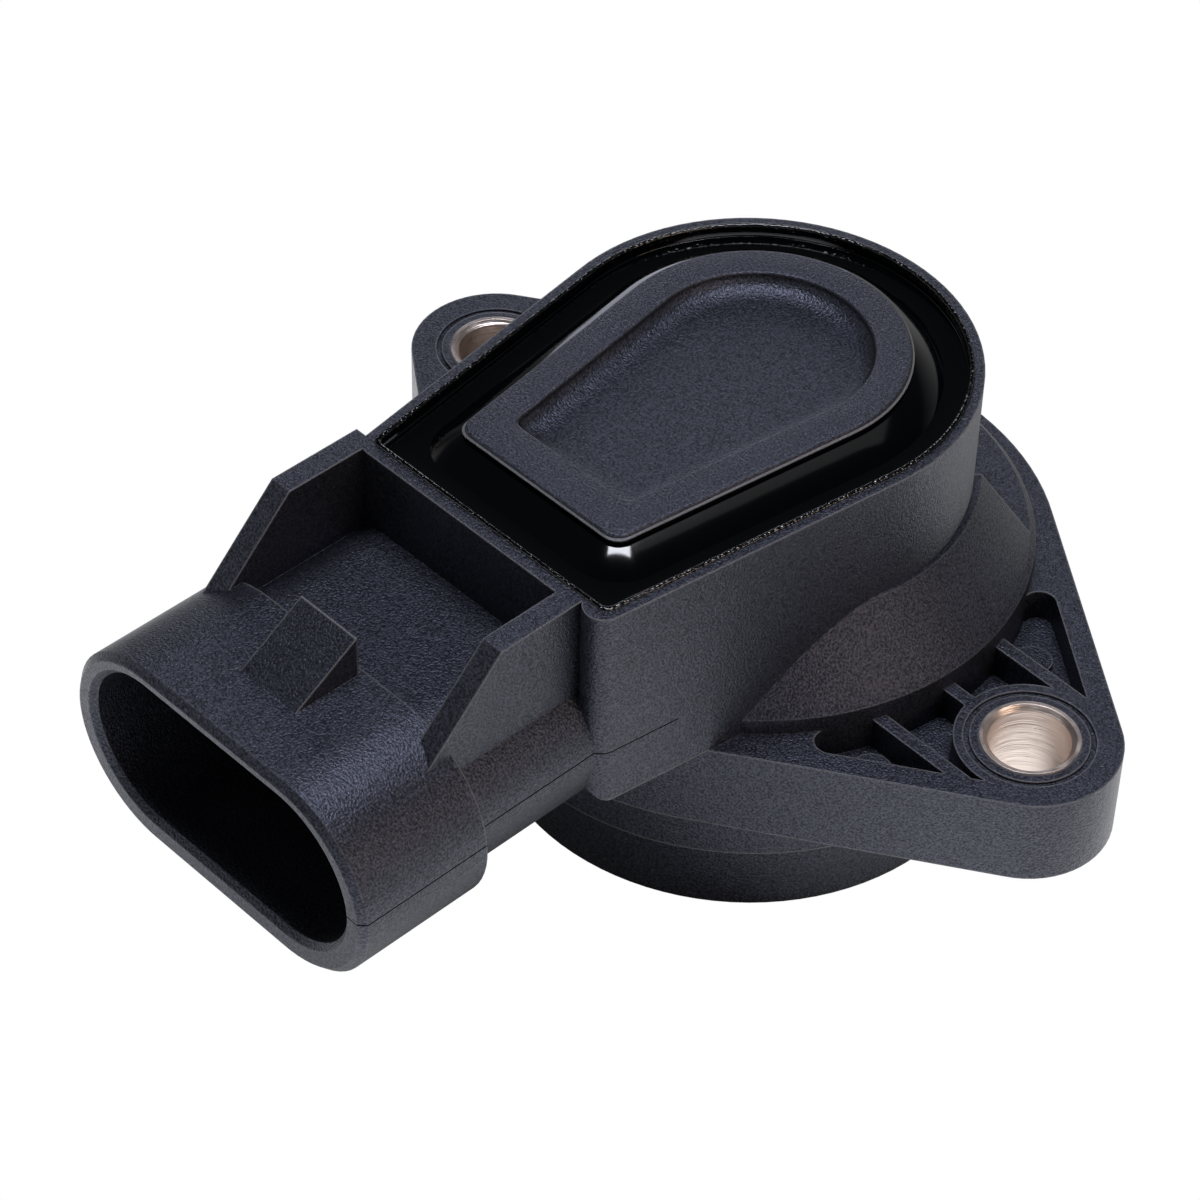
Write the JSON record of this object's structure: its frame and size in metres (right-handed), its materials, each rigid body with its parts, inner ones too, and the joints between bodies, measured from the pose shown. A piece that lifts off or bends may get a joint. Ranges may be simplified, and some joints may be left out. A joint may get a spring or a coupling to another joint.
{
  "type": "throttle position sensor",
  "caption": "Rotary throttle position sensor with a potted case, a two-ear bolt flange, a round spigot and a plug shroud.",
  "frame": {"origin": "rotor axis in the plane of the flange's mounting face, midway between the two mounting holes", "axes": "+Z out of the cover along the rotor axis, +X through the mounting hole on the right, the plug's mouth faces -Y"},
  "size_m": [0.061, 0.0636, 0.0331],
  "materials": {
    "housing_plastic": "black glass filled plastic with a fine satin sheen",
    "cover_plastic": "black glass filled plastic with a fine satin sheen",
    "sealant": "wet looking black epoxy",
    "bushing_brass": "turned brass",
    "terminal_brass": "tinned brass strip",
    "spring_bronze": "bare spring bronze",
    "board": "green coated board with dark printed tracks",
    "rotor_plastic": "black low friction plastic",
    "steel": "bright steel",
    "washer_plastic": "natural low friction plastic",
    "seal_rubber": "matt black rubber"
  },
  "bodies": {
    "case": {"housing": "housing_plastic", "cover": "cover_plastic", "potting": "sealant", "bushing_left": "bushing_brass", "bushing_right": "bushing_brass", "terminal_supply": "terminal_brass", "terminal_signal": "terminal_brass", "terminal_ground": "terminal_brass", "contact_supply": "spring_bronze", "contact_signal": "spring_bronze", "contact_ground": "spring_bronze", "element_board": "board", "return_spring": "steel", "thrust_washer": "washer_plastic", "preload_washer": "steel", "hub_seal": "seal_rubber"},
    "turning_rotor": {"rotor": "rotor_plastic", "drive_insert": "steel", "wiper": "spring_bronze"}
  },
  "joints": [
    {"name": "rotor_turn", "type": "hinge", "parent": "case", "child": "turning_rotor", "pos_m": [0, 0, 0], "axis": [0, 0, 1], "range_deg": [0, 100], "stiffness_Nm_per_rad": 0.012, "springref_deg": -34.38, "deforming": ["return_spring"]}
  ]
}
